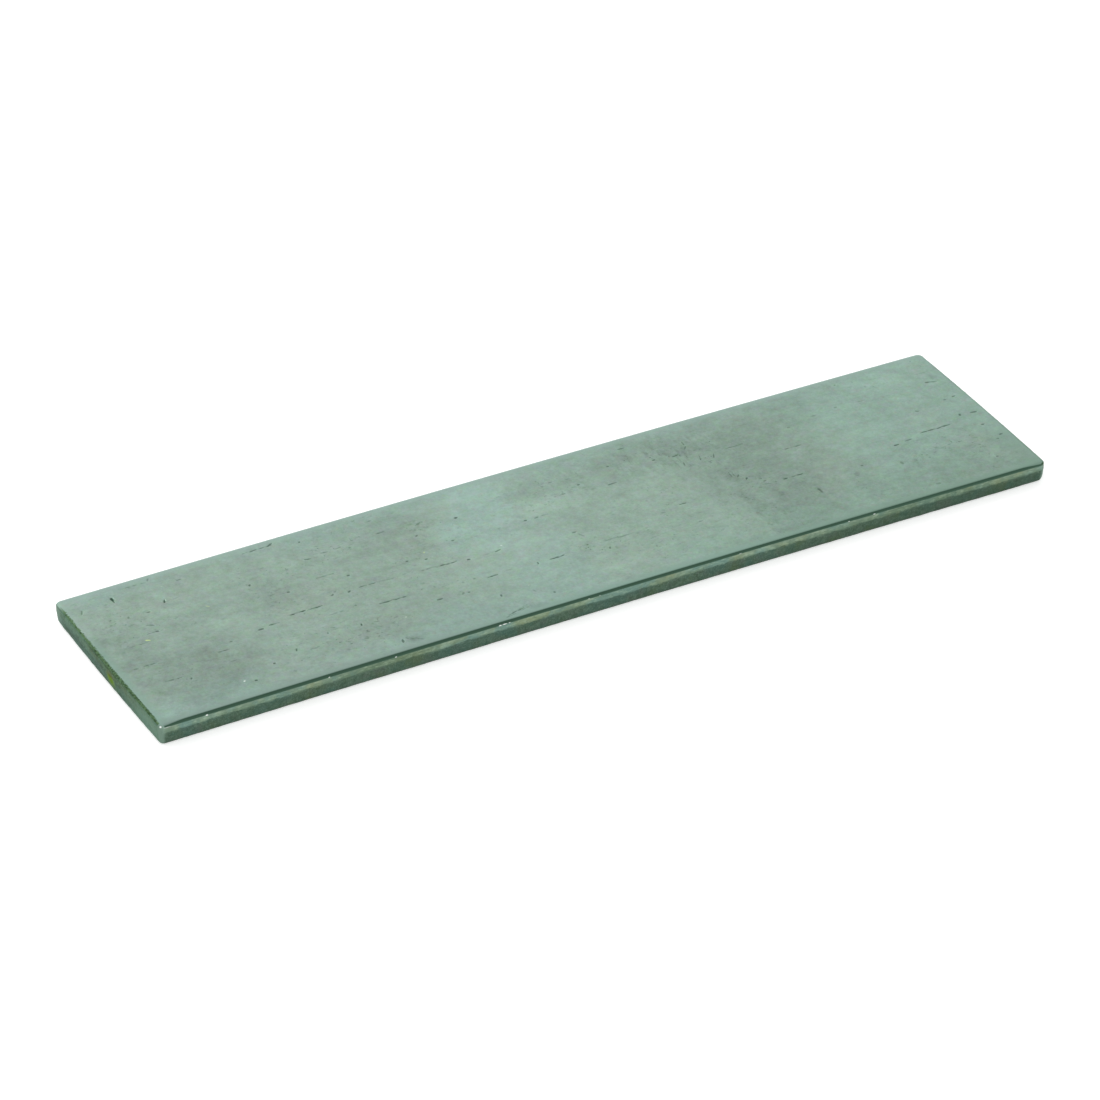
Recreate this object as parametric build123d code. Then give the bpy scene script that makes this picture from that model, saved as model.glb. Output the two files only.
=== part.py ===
from build123d import *

import math
import os

# A short length of sheared mild steel flat bar, 8 x 2 x 3/16 inch, made as one solid.
#
# Frame: +X along the bar, +Y across its width, +Z up. The origin is the centre of the rectangle
# that the bar covers, on the plane that it lies on. Millimetres.
#
# The bar is cut all round by a shear, and its side shows the zones that shearing leaves, from the
# top face down: the rolled-over arris, the smooth upright burnished band, and the torn band that
# leans in towards the bottom face. A crisp crest parts the rolled arris from the burnished band.

# Stock size
bar_length = 203.2
bar_width = 50.8
bar_thickness = 4.76

# Plan shape that the cuts leave
corner_radius = 1.4  # the four upright corners
edge_camber = 0.63  # both long edges sweep towards +Y by this much at mid-length
end_crown = 0.25  # each end stands out by this much at mid-width

# Side, from the top face down
roll_radius = 1.0  # curve of the rolled arris, tangent to the top face
roll_depth = 0.45  # height of the rolled arris, from the top face to the crest
burnish_height = 1.3  # the upright smooth band under the crest
break_angle = 6.0  # lean of the torn band, in degrees from upright
foot_radius = 0.9  # the worn round where the torn band meets the bottom face

# Worked out from the sizes above
crest_z = bar_thickness - roll_depth
break_z = crest_z - burnish_height
roll_overhang = roll_radius - math.sqrt(roll_radius**2 - (roll_radius - roll_depth) ** 2)


def plan_face():
    """The bar seen from above at its widest level, centred on the rectangle that it covers."""
    corner_x = bar_length / 2 - end_crown
    front_y = -(bar_width + edge_camber) / 2
    back_y = front_y + bar_width
    mid_y = (front_y + back_y) / 2
    front = ThreePointArc((-corner_x, front_y), (0, front_y + edge_camber), (corner_x, front_y))
    right = ThreePointArc((corner_x, front_y), (bar_length / 2, mid_y), (corner_x, back_y))
    back = ThreePointArc((corner_x, back_y), (0, back_y + edge_camber), (-corner_x, back_y))
    left = ThreePointArc((-corner_x, back_y), (-bar_length / 2, mid_y), (-corner_x, front_y))
    face = make_face([front, right, back, left])
    return fillet(face.vertices(), corner_radius)


def torn_zone(plan):
    """The lower part of the bar, which leans in towards the bottom face and ends in a worn round."""
    zone = extrude(Pos(Z=break_z) * plan, amount=break_z, dir=(0, 0, -1), taper=break_angle)
    foot = zone.edges().group_by(Axis.Z)[0]
    return fillet(foot, foot_radius)


def upright_zone(plan):
    """The upper part of the bar: the burnished band, with the rolled arris cut off at the crest."""
    upright = extrude(Pos(Z=break_z) * plan, amount=bar_thickness - break_z)
    rounded = extrude(offset(plan, roll_overhang), amount=bar_thickness)
    rounded = fillet(rounded.edges().group_by(Axis.Z)[-1], roll_radius)
    return upright & rounded


def flat_bar():
    plan = plan_face()
    return torn_zone(plan) + upright_zone(plan)


os.makedirs("parts", exist_ok=True)
export_step(flat_bar(), "parts/flat_bar.step")
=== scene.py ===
import math
import random
from collections import namedtuple

import bmesh
import bpy
from mathutils import Matrix, Vector, noise


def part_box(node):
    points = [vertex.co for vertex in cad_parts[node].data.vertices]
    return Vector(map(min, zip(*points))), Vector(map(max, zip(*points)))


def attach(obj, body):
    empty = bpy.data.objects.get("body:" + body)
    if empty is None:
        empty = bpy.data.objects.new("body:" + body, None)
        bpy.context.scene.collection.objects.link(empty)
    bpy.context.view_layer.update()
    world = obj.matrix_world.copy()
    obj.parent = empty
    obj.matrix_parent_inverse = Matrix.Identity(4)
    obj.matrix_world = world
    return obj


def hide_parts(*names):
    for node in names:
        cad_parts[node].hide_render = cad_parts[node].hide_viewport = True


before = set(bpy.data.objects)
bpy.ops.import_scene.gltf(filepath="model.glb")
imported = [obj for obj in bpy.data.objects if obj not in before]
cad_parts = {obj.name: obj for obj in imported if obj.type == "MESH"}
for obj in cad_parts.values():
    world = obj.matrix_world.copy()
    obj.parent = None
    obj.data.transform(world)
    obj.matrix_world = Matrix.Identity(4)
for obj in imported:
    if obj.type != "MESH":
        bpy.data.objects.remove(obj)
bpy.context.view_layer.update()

# A length of sheared steel flat bar. The skin repeats the bar's outline and its sheared side, and
# adds the marks of rolling and shearing: laps, pits, a wandering crest and a torn, uneven break.

MM = 0.001

# The bar's own sizes, as its solid has them
BAR_LOW, BAR_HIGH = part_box("flat_bar")
THICKNESS = BAR_HIGH.z - BAR_LOW.z
EDGE_CAMBER = 0.63 * MM  # both long edges sweep towards +Y by this much at mid-length
END_CROWN = 0.25 * MM  # each end stands out by this much at mid-width
CORNER_RADIUS = 1.4 * MM
ROLL_RADIUS = 1.0 * MM
ROLL_DEPTH = 0.45 * MM
BURNISH_HEIGHT = 1.3 * MM
BREAK_ANGLE = math.radians(6.0)
FOOT_RADIUS = 0.9 * MM
HALF_LENGTH = (BAR_HIGH.x - BAR_LOW.x) / 2 - END_CROWN
HALF_WIDTH = (BAR_HIGH.y - BAR_LOW.y - EDGE_CAMBER) / 2

# Worked out from them
ROLL_TURN = math.acos(1 - ROLL_DEPTH / ROLL_RADIUS)
FACE_INSET = ROLL_RADIUS * math.sin(ROLL_TURN)
CREST_Z = THICKNESS - ROLL_DEPTH
BREAK_Z = CREST_Z - BURNISH_HEIGHT
FACE_CORNER = CORNER_RADIUS - FACE_INSET
FACE_HALF = Vector((HALF_LENGTH - FACE_INSET, HALF_WIDTH - FACE_INSET))
CORE_HALF = FACE_HALF - Vector((FACE_CORNER, FACE_CORNER))

# Fineness of the skin
CELL = 0.58 * MM  # of the face's grid
CORNER_CELLS = 4  # along each side of a corner round
ROLL_RINGS, BURNISH_RINGS, TORN_RINGS, FOOT_RINGS = 7, 6, 8, 6
BASE_RIM = 1.0 * MM  # width of the ring inside the base's border
REFINE_ROUNDS = 2  # how many times the cells round a mark are split
REFINE_MARGIN, REFINE_STEP = 0.16, 0.2  # how far round it, in millimetres, and more for each round
REFINE_STRIP, PRESS_STRIP = 4, 2  # widths of the strips that marks are looked up by, in millimetres

# What shearing leaves on the side: how far each thing strays, and over what pitch it changes
CREST_WANDER, CREST_PITCH = 0.05 * MM, 1.3 * MM
BREAK_WANDER, BREAK_PITCH, BREAK_FINE_PITCH = 0.26 * MM, 7 * MM, 1.9 * MM
TORN_SETBACK = 0.04 * MM
TORN_ROUGHNESS, TORN_PITCH, TORN_WIDE_PITCH = 0.07 * MM, 0.55 * MM, 1.4 * MM
FOOT_WANDER, FOOT_PITCH = 0.06 * MM, 2.2 * MM
WORN_CORNER = 0.12 * MM  # the foot is worn away more towards the front right corner
WORN_FROM = 92 * MM

# Zones down the side, as the skin's edge_zone attribute counts them; the base is at 4
FACE_ZONE, CREST_ZONE, BREAK_ZONE, FOOT_ZONE = 0.0, 1.0, 2.0, 3.0
FACE_FINISH, SIDE_FINISH = 0, 1  # the skin's two materials, by their slots


def rows(kind, *values):
    """The rows of a table, as records of one kind."""
    return tuple(kind(*row) for row in values)


# Marks in the rolled face, in millimetres: place, half length, half width, turn in degrees, strength
Mark = namedtuple("Mark", "x y half_length half_width turn strength")
LAPS = rows(
    Mark,
    (-60.4, -2.2, 2.1, 0.27, 0, 1.2),
    (-56.5, -2.3, 1.8, 0.26, 0, 1.0),
    (-69.2, -4.1, 0.7, 0.32, 0, 1.0),
    (-66.1, -3.6, 1.2, 0.23, 0, 1.1),
    (-43.2, -7.2, 1.4, 0.34, 0, 1.0),
    (-40.0, -7.2, 1.9, 0.24, 0, 0.95),
    (-44.4, 0.2, 0.9, 0.26, 0, 0.75),
    (-42.4, 0.2, 0.8, 0.22, 0, 0.8),
    (-39.2, 0.0, 2.2, 0.18, -2, 0.5),
    (-57.4, 22.8, 3.5, 0.2, 2, 0.7),
    (-54.3, 23.2, 0.8, 0.28, 25, 0.8),
    (-85.1, 22.6, 2.9, 0.18, 0, 0.42),
    (-81.5, 23.2, 0.6, 0.2, 60, 0.5),
    (-76.0, 20.2, 0.6, 0.22, 0, 0.6),
    (-49.8, 14.6, 0.8, 0.22, -10, 0.7),
    (-45.8, 15.2, 0.9, 0.2, -8, 0.6),
    (-42.6, 15.4, 0.9, 0.18, 5, 0.5),
    (-49.3, 7.3, 2.2, 0.19, 0, 0.6),
    (-53.7, -6.0, 2.0, 0.2, 2, 0.42),
    (-32.5, 16.4, 1.0, 0.25, 3, 0.62),
    (-88.5, 5.2, 1.4, 0.2, 4, 0.62),
    (-93.3, 2.5, 2.5, 0.2, 0, 0.45),
    (-93.9, -5.0, 1.5, 0.22, 0, 0.58),
    (-96.9, -5.1, 0.6, 0.22, 0, 0.55),
    (-92.0, -12.0, 1.9, 0.24, -4, 0.65),
    (-79.0, -7.5, 1.3, 0.2, 0, 0.65),
    (-78.8, -11.7, 0.9, 0.18, 0, 0.4),
    (-30.0, -0.4, 2.0, 0.2, 0, 0.45),
    (-25.8, -0.6, 2.5, 0.26, 0, 0.8),
    (-16.6, -1.2, 1.5, 0.18, 0, 0.3),
    (-14.5, -1.1, 0.8, 0.25, 15, 0.8),
    (-19.8, -9.0, 1.3, 0.25, 0, 0.9),
    (-15.8, -8.5, 0.7, 0.18, 0, 0.35),
    (-5.0, -9.1, 1.8, 0.3, 3, 1.0),
    (-1.8, 6.2, 0.6, 0.24, 10, 0.55),
    (0.1, 6.3, 0.9, 0.18, 0, 0.45),
    (7.3, -8.4, 2.1, 0.22, 0, 0.42),
    (10.6, -8.5, 1.8, 0.2, 0, 0.45),
    (2.3, -2.5, 0.5, 0.28, 0, 0.55),
    (7.1, 11.5, 0.8, 0.22, 3, 0.6),
    (7.0, 16.8, 0.5, 0.22, 0, 0.5),
    (13.7, 10.3, 0.7, 0.26, 0, 0.32),
    (22.0, -4.7, 0.6, 0.26, 0, 0.4),
    (27.1, -3.6, 0.9, 0.24, 0, 0.85),
    (27.1, -11.2, 0.6, 0.2, 0, 0.55),
    (26.2, 21.4, 0.9, 0.28, 0, 0.55),
    (18.1, 10.2, 1.2, 0.24, 5, 0.65),
    (34.8, 13.5, 0.8, 0.24, 8, 0.7),
    (50.5, -5.3, 0.6, 0.26, 0, 0.9),
    (53.3, -5.3, 1.5, 0.26, 0, 1.0),
    (57.6, 4.7, 2.5, 0.2, 0, 0.65),
    (47.3, 10.9, 2.3, 0.2, 0, 0.5),
    (68.1, 13.4, 0.9, 0.2, 0, 0.5),
    (80.0, 13.8, 0.9, 0.18, 0, 0.45),
    (86.3, -3.3, 2.0, 0.27, -2, 0.95),
    (89.8, -3.4, 2.3, 0.29, 3, 1.0),
    (80.7, -4.5, 1.0, 0.22, 2, 0.6),
    (77.5, -5.0, 0.7, 0.3, 0, 1.0),
    (97.0, 13.4, 1.4, 0.3, -18, 0.8),
)
PITS = rows(
    Mark,
    (-90.75, 20.1, 0.6, 0.55, 90, 1.5),
    (-90.8, 19.35, 0.66, 0.3, 90, 1.2),
    (-81.8, 14.4, 0.55, 0.28, 65, 1.3),
    (-86.3, 12.3, 0.5, 0.24, 0, 0.6),
    (-90.6, 12.4, 0.42, 0.28, 60, 0.5),
    (-94.8, 11.4, 0.3, 0.24, 0, 0.5),
    (-87.9, 7.8, 0.9, 0.36, -30, 0.5),
    (-87.5, 5.2, 0.35, 0.28, 0, 0.7),
    (-98.1, 18.5, 0.9, 0.2, 60, 0.55),
    (-88.7, -13.3, 0.4, 0.28, 50, 0.75),
    (-76.3, -5.2, 0.32, 0.24, 0, 0.55),
    (-64.3, 11.5, 0.42, 0.32, 60, 0.7),
    (-48.5, 21.2, 0.38, 0.25, 45, 0.65),
    (-47.7, -0.2, 0.48, 0.3, 40, 0.7),
    (-48.8, -5.4, 0.3, 0.24, 0, 0.55),
    (-69.6, -20.9, 0.34, 0.26, 40, 0.28),
    (-52.0, -17.2, 0.4, 0.24, 0, 0.2),
    (-58.1, -11.7, 0.3, 0.22, 80, 0.7),
    (-58.5, 5.5, 0.38, 0.3, 0, 0.8),
    (-45.3, 5.2, 0.42, 0.3, 0, 0.8),
    (-51.2, 0.3, 0.4, 0.28, 20, 0.85),
    (-50.9, -12.2, 0.42, 0.3, 70, 1.0),
    (-72.1, -16.3, 0.36, 0.33, 0, 1.0),
    (-66.2, -14.1, 0.55, 0.26, 65, 0.85),
    (-77.8, -20.0, 0.36, 0.3, 0, 0.9),
    (-46.3, -21.4, 0.6, 0.42, 70, 1.0),
    (-16.3, 14.1, 0.38, 0.36, 0, 1.15),
    (-24.3, 15.6, 0.5, 0.36, 30, 0.5),
    (-26.5, 11.8, 0.36, 0.26, 30, 0.65),
    (-20.8, 6.7, 0.34, 0.26, 0, 0.65),
    (-32.5, 4.2, 0.32, 0.26, 0, 0.7),
    (-28.7, 3.1, 0.34, 0.3, 0, 0.9),
    (-21.2, -1.2, 0.42, 0.32, 0, 1.0),
    (-23.5, -8.1, 0.34, 0.26, 0, 0.5),
    (-21.6, -16.2, 0.42, 0.31, 70, 1.0),
    (-33.0, -11.5, 0.72, 0.32, 0, 0.75),
    (-27.9, -11.8, 0.5, 0.26, 45, 0.48),
    (-26.7, -12.0, 0.3, 0.26, 0, 0.5),
    (-14.9, -17.8, 0.5, 0.2, 115, 0.5),
    (-11.6, -20.2, 0.4, 0.32, 70, 0.55),
    (-9.5, -9.1, 0.42, 0.26, 80, 0.85),
    (-4.3, 6.3, 0.38, 0.3, 0, 0.95),
    (3.1, -4.0, 1.0, 0.2, 110, 0.4),
    (5.3, 11.4, 0.3, 0.22, 0, 0.35),
    (6.0, -11.1, 0.42, 0.26, 60, 0.7),
    (11.8, 13.2, 0.36, 0.3, 0, 0.75),
    (20.5, 16.6, 0.32, 0.26, 0, 0.65),
    (30.1, 14.2, 0.42, 0.3, 0, 0.75),
    (38.1, 15.2, 0.8, 0.22, 50, 0.55),
    (43.5, -1.4, 0.46, 0.32, 50, 1.0),
    (46.3, -4.0, 0.4, 0.22, 0, 0.55),
    (46.6, -9.2, 0.36, 0.28, 70, 0.2),
    (46.3, 14.9, 0.36, 0.26, 0, 0.2),
    (54.5, -12.7, 1.0, 0.3, 95, 0.6),
    (64.3, -11.0, 0.8, 0.5, 80, 0.3),
    (67.0, -8.5, 0.34, 0.26, 0, 0.6),
    (73.9, 14.2, 0.4, 0.28, 0, 0.45),
    (74.8, -11.7, 0.6, 0.34, 90, 0.45),
    (61.2, 11.9, 0.42, 0.3, 0, 0.38),
    (77.3, -22.2, 0.6, 0.42, 0, 0.38),
    (88.2, 4.6, 0.5, 0.2, -35, 0.7),
    (93.6, -18.9, 0.34, 0.26, 0, 0.6),
    (95.4, -1.0, 0.5, 0.34, 60, 0.75),
    (98.5, -1.4, 0.85, 0.32, -10, 0.75),
    (97.6, -6.6, 0.42, 0.28, 0, 0.7),
    (98.2, 6.1, 0.5, 0.24, 0, 0.72),
    (95.8, 5.8, 0.36, 0.24, 0, 0.55),
    (98.9, -11.7, 0.42, 0.3, 0, 0.85),
    (97.4, -13.0, 0.34, 0.26, 0, 0.55),
)
SCRATCHES = rows(
    Mark,
    (40.1, 0.7, 0.6, 0.17, 86, 0.18),
    (41.2, 1.4, 1.2, 0.16, 86, 0.8),
    (41.8, 1.0, 1.2, 0.16, 84, 0.75),
    (42.4, 0.3, 0.7, 0.18, 50, 0.65),
    (-21.3, -22.7, 2.6, 0.16, 15, 0.8),
    (-20.0, -22.0, 1.8, 0.14, 18, 0.45),
    (-22.9, -23.5, 1.6, 0.15, 12, 0.55),
    (-19.4, -22.6, 1.6, 0.12, 16, 0.35),
    (-45.1, -20.9, 0.5, 0.2, -60, 0.5),
    (-44.3, -21.5, 0.7, 0.2, -50, 0.45),
    (-43.4, -22.0, 0.7, 0.2, -50, 0.4),
    (-42.6, -22.6, 0.4, 0.26, -45, 0.35),
    (41.8, 9.6, 1.0, 0.22, 65, 0.9),
    (38.9, 10.2, 0.9, 0.2, 70, 0.8),
    (36.4, 11.3, 0.9, 0.2, 80, 0.25),
    (38.6, 17.0, 0.8, 0.2, 85, 0.7),
    (34.9, 9.8, 0.8, 0.2, 75, 0.6),
)
SMALL_MARKS = 60  # faint pits and laps scattered over the face
SMALL_MARK_SEED = 11
SMALL_MARK_X, SMALL_MARK_Y = 98, 23  # how far they reach to each side of the middle, in millimetres
WIDEST, NARROWEST = 2.1, 1.1  # a mark's width over its stated width, for a faint and a strong one
SLIMMEST = 8  # length over width from which a mark is as ragged as it gets
RAGGEDNESS = 0.7
LAP_DEPTH = 0.07 * MM
PIT_DEPTH = 0.11 * MM

# Bright grains stuck to the face, in millimetres
YELLOW_GRAINS = rows(
    Mark,
    (-90.65, 3.15, 0.6, 0.22, -28, 0.5),
    (-75.0, 8.6, 0.5, 0.22, -45, 0.28),
    (-28.0, 5.5, 0.3, 0.24, 60, 0.3),
)
PALE_GRAINS = rows(
    Mark,
    (-80.0, -19.15, 0.28, 0.2, 0, 0.6),
    (-41.9, -14.0, 0.26, 0.2, 0, 0.35),
    (-13.0, 0.3, 0.26, 0.18, 0, 0.4),
    (-15.0, -15.5, 0.26, 0.16, 40, 0.25),
    (-80.1, 19.6, 0.3, 0.2, 0, 0.22),
    (-13.6, 5.2, 1.9, 0.16, -40, 0.2),
)

# Spots on the side, in millimetres: place along the front side or across the left end, height,
# reach along, reach up and strength
Spot = namedtuple("Spot", "along z reach_along reach_up strength")
# Painted highlights, where the crest catches the light
CREST_GLINTS = rows(
    Spot,
    (-99.7, 4.2, 0.9, 0.1, 0.35),
    (-91.15, 4.2, 0.3, 0.17, 1.0),
    (-64.5, 4.28, 0.22, 0.09, 0.75),
    (-49.8, 4.27, 0.24, 0.1, 0.9),
    (-26.5, 4.25, 0.36, 0.12, 0.95),
    (-25.5, 4.27, 0.6, 0.1, 1.0),
    (-24.4, 4.28, 0.26, 0.08, 0.7),
    (-6.4, 4.29, 0.32, 0.07, 0.4),
    (-3.9, 4.29, 0.2, 0.07, 0.35),
    (28.5, 4.27, 0.35, 0.08, 0.4),
    (54.0, 4.26, 0.25, 0.09, 0.6),
    (60.0, 4.27, 0.3, 0.1, 0.75),
)
GLINT_DEPTH = 0.5 * MM  # how far in from its place a glint still shows
# Painted highlight at the front left corner of the crest
CORNER_GLINT = Vector((-100.95, -25.25, 4.4)) * MM
CORNER_GLINT_REACH = 0.25 * MM
END_STAIN = Spot(-2.85, 2.65, 2.05, 1.8, 1.0)
STAIN_DEPTH = 2 * MM
STAIN_PUSH_ACROSS, STAIN_PUSH_UP = 2.4 * MM, 1.6 * MM  # how far noise moves the stain's border
STAIN_TOP_FROM, STAIN_TOP_TO = 2.85 * MM, 3.3 * MM  # the height where the stain turns brown
STAIN_TOP_PUSH = 1.8 * MM
END_SHADES = rows(
    Spot,
    (12.5, 2.6, 3.6, 1.7, 0.35),
    (2.8, 2.1, 3.4, 1.7, 0.7),
    (17.0, 1.4, 3.4, 1.3, 0.45),
)
DULL_STRETCHES = (Spot(-50.5, 3.6, 13.0, 1.6, 0.55), Spot(73.0, 3.6, 19.0, 1.6, 0.5))
DULL_DEPTH = 3 * MM
OLIVE_MIDDLE, OLIVE_REACH = -18 * MM, 55 * MM  # the olive stretch of the burnished band

# Soft clouds on the face, partly the steel's uneven tone and partly painted light, lighter over the
# middle and darker towards the right: place and reach in millimetres, and how much lighter or darker
# they are
Cloud = namedtuple("Cloud", "x y reach_x reach_y shade")
CLOUDS_AND_PAINTED_LIGHT = rows(
    Cloud,
    (-85, -11, 15, 13, -0.18),
    (-98, 2, 10, 9, -0.14),
    (-97, 22, 5, 4, 0.05),
    (-78, 5, 10, 4, -0.07),
    (-62, 5, 8, 6, -0.085),
    (-47, -12, 15, 7, -0.07),
    (-30, 14, 12, 9, -0.065),
    (-12, 12, 13, 18, 0.13),
    (-14, -8, 16, 13, 0.08),
    (1, 23, 10, 4, 0.06),
    (5, 7, 8, 7, 0.06),
    (25, 1, 7, 9, 0.06),
    (36, 17, 22, 6, -0.06),
    (50, 1, 15, 27, -0.15),
    (65, 17, 8, 7, -0.07),
    (72, 8, 9, 10, 0.06),
    (90, 12, 12, 14, 0.05),
    (88, -20, 24, 8, -0.11),
    (92, -11, 10, 5, -0.05),
    (45, -23, 38, 4, -0.045),
    (35, 15, 6, 6, -0.08),
    (20, 18, 8, 4, -0.07),
    (65, -13, 6, 7, -0.08),
    (67, -22, 6, 3, -0.05),
    (-34, -7, 6, 4, -0.07),
    (-86, 17, 6, 5, -0.05),
    (-85, -18, 8, 4, -0.06),
    (-3, -3, 10, 5, 0.09),
    (4, -16, 8, 5, 0.06),
    (4, 11, 12, 4, 0.06),
    (-10, 22, 9, 4, 0.07),
    (-26, 3, 6, 5, 0.06),
    (-75, 1, 6, 9, 0.05),
    (55, 5, 6, 5, 0.06),
    (86, 20, 14, 6, 0.05),
)
# Smaller ones, with a crisper border
SMUDGES = rows(
    Cloud,
    (25.5, 17.3, 0.8, 3.2, -0.1),
    (-43.7, -21.9, 2.0, 1.3, -0.2),
    (-17.0, -23.0, 2.4, 0.9, -0.14),
    (54.4, -12.9, 0.9, 1.6, -0.14),
    (41.2, 0.6, 1.9, 2.2, -0.12),
    (39.6, -8.5, 1.2, 4.0, -0.07),
    (98.3, 15.4, 0.6, 1.6, -0.14),
    (3.5, 2.5, 4.5, 4.0, -0.06),
    (-7.5, 5.0, 6.5, 2.0, -0.07),
    (-27.0, 15.0, 7.0, 1.8, -0.07),
    (76.5, 8.5, 1.6, 4.0, -0.08),
    (64.2, -10.8, 1.2, 1.6, -0.12),
    (-63.4, 3.4, 3.0, 2.2, -0.05),
    (-61.5, -12.6, 3.0, 1.4, -0.04),
)
# Where streaks that run across the bar darken it, and by how much
WIPED = rows(
    Cloud,
    (24, 15, 7, 8, -0.24),
    (33, 15, 5, 10, -0.3),
    (40, 12, 6, 10, -0.24),
    (11, 15, 4, 7, -0.2),
    (-16, 11, 5, 6, -0.16),
    (41, -17, 5, 6, -0.22),
    (54, -12, 3, 5, -0.22),
    (77.5, -11.5, 4, 4.5, -0.3),
    (82, 8, 6, 8, -0.12),
)
# Where the dark specks gather, and how many more there are
SPECKLED = rows(
    Cloud,
    (81, -11, 6, 4, 0.7),
    (92, -10, 9, 8, 0.35),
    (37, 14, 9, 9, 0.7),
    (45, -10, 8, 8, 0.5),
    (26, 14, 6, 7, 0.4),
    (-42, 15, 9, 4, 0.8),
    (-48, -16, 17, 6, 0.6),
    (-91, 9, 9, 6, 0.7),
    (-26, 15, 6, 4, 0.5),
    (-58, 12, 14, 8, 0.5),
    (-63, 3, 8, 5, 0.5),
    (-7, 5, 7, 3, 0.5),
    (2, -10, 8, 3, 0.4),
)
DROP_MARK = Cloud(43.8, -9.7, 2.6, 2.6, 0.035)  # a dried drop: a pale disc in a darker ring
CLOUD_EDGE = 6 * MM  # how far noise moves the border of a cloud, and of a smaller one
SMUDGE_EDGE = 1.2 * MM

# A dull patch on the face: crisp where it starts along the bar, then fading, and fuller to the front
DULL_FROM, DULL_FULL, DULL_FADES, DULL_TO = 38.3 * MM, 39 * MM, 42.3 * MM, 64 * MM
DULL_BACK, DULL_FRONT = -1 * MM, -9 * MM


def paint(red, green, blue):
    """A colour given in screen values, 0 to 255, as the linear colour that a shader takes."""
    screen = [value / 255 for value in (red, green, blue)]
    return tuple(((value + 0.055) / 1.055) ** 2.4 for value in screen) + (1.0,)


# Rolled face
MILL_GREY = paint(148, 171, 158)
MILL_GREEN = paint(141, 172, 155)
MILL_BLUE = paint(145, 174, 165)
MILL_WARM = paint(150, 164, 152)
MILL_ROSE = paint(152, 164, 166)
MILL_LEAF = paint(141, 177, 147)
DARK_MARK = paint(20, 62, 42)
YELLOW_GRAIN = paint(220, 244, 150)
PALE_GRAIN = paint(236, 246, 240)

# Rim of the face and the rolled arris, all painted light: reflections on the rims, a dark reflection
# along the arris, sheen on the corner rounds and glints
RIM_PALE_REFLECTION = paint(156, 182, 173)
RIM_GREEN_REFLECTION = paint(128, 158, 142)
RIM_GREY_REFLECTION = paint(134, 158, 148)
RIM_LIGHT_REFLECTION = paint(135, 167, 153)
# Painted dark reflection along the arris: plain on the long sides, in dashes on the ends
ROLL_DARK_REFLECTION = paint(59, 87, 71)
END_RIM_REFLECTION = paint(87, 117, 82)
END_RIM_DEEP_REFLECTION = paint(50, 77, 46)
# Painted sheen on the rounded upright corners
CORNER_SHEEN = paint(120, 143, 129)
# Colour of the painted highlights
GLINT = paint(246, 252, 248)

# Burnished band
BURNISH_HIGH = paint(113, 133, 115)
BURNISH_LOW = paint(100, 124, 103)
BURNISH_PALE = paint(150, 172, 148)
BURNISH_OLIVE = paint(113, 130, 99)
BURNISH_COOL = paint(101, 131, 121)
BURNISH_WARM = paint(121, 135, 106)
BURNISH_DULL = paint(78, 100, 74)

# Torn band
TORN = paint(76, 101, 84)
TORN_DEEP = paint(52, 75, 56)
TORN_OLIVE = paint(80, 100, 66)
TORN_BLUE = paint(70, 102, 94)
TORN_DUSTY = paint(90, 100, 93)
TORN_PALE = paint(106, 131, 113)

# Ends, and the stain on the left one
END_GREY = paint(65, 98, 77)
END_DEEP = paint(46, 73, 50)
END_PALE = paint(96, 131, 112)
END_OLIVE = paint(92, 108, 76)
END_BLUE = paint(63, 99, 88)
END_LEAF = paint(66, 110, 62)
END_MIDDLE = paint(58, 86, 50)
END_SHADE = paint(52, 74, 64)
END_FRONT = paint(108, 142, 124)
STAIN_YELLOW = paint(86, 122, 0)
STAIN_BROWN = paint(74, 82, 0)


# ---------------------------------------------------------------------------------- the skin


def smooth(low, high, value):
    """0 below low, 1 above high and an S-curve between them."""
    share = min(max((value - low) / (high - low), 0.0), 1.0)
    return share * share * (3 - 2 * share)


def band(value, start, full, fall, end):
    """An S-curve up from 0 at start to 1 at full, and one down from 1 at fall to 0 at end."""
    return smooth(start, full, value) * (1 - smooth(fall, end, value))


def shares(rings):
    """How far down a zone each of its rings lies, up to 1."""
    return [ring / rings for ring in range(1, rings + 1)]


def side_stations():
    """Each level of the side, from the face down: its outset from the face's border, z and zone."""
    stations = []
    for share in shares(ROLL_RINGS):
        turn = ROLL_TURN * share
        drop = ROLL_RADIUS * (1 - math.cos(turn))
        stations.append((ROLL_RADIUS * math.sin(turn), THICKNESS - drop, FACE_ZONE + share))
    for share in shares(BURNISH_RINGS):
        down = share**1.5
        stations.append((FACE_INSET, CREST_Z - BURNISH_HEIGHT * down, CREST_ZONE + down))
    foot_top = FOOT_RADIUS * (1 - math.sin(BREAK_ANGLE))
    for share in shares(TORN_RINGS):
        drop = (BREAK_Z - foot_top) * share
        stations.append((FACE_INSET - math.tan(BREAK_ANGLE) * drop, BREAK_Z - drop, BREAK_ZONE + share))
    foot_middle = stations[-1][0] - FOOT_RADIUS * math.cos(BREAK_ANGLE)
    for share in shares(FOOT_RINGS):
        turn = BREAK_ANGLE + (math.pi / 2 - BREAK_ANGLE) * share
        outset = foot_middle + FOOT_RADIUS * math.cos(turn)
        stations.append((outset, FOOT_RADIUS * (1 - math.sin(turn)), FOOT_ZONE + share))
    return stations


def grid_line(index, half_cells, half_core):
    """Distance of a grid line from the middle: even over the bar, closer over the corner rounds."""
    core_cells = half_cells - CORNER_CELLS
    count = abs(index)
    if count <= core_cells:
        distance = half_core * count / core_cells
    else:
        distance = half_core + FACE_CORNER * (count - core_cells) / CORNER_CELLS
    return math.copysign(distance, index)


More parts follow.
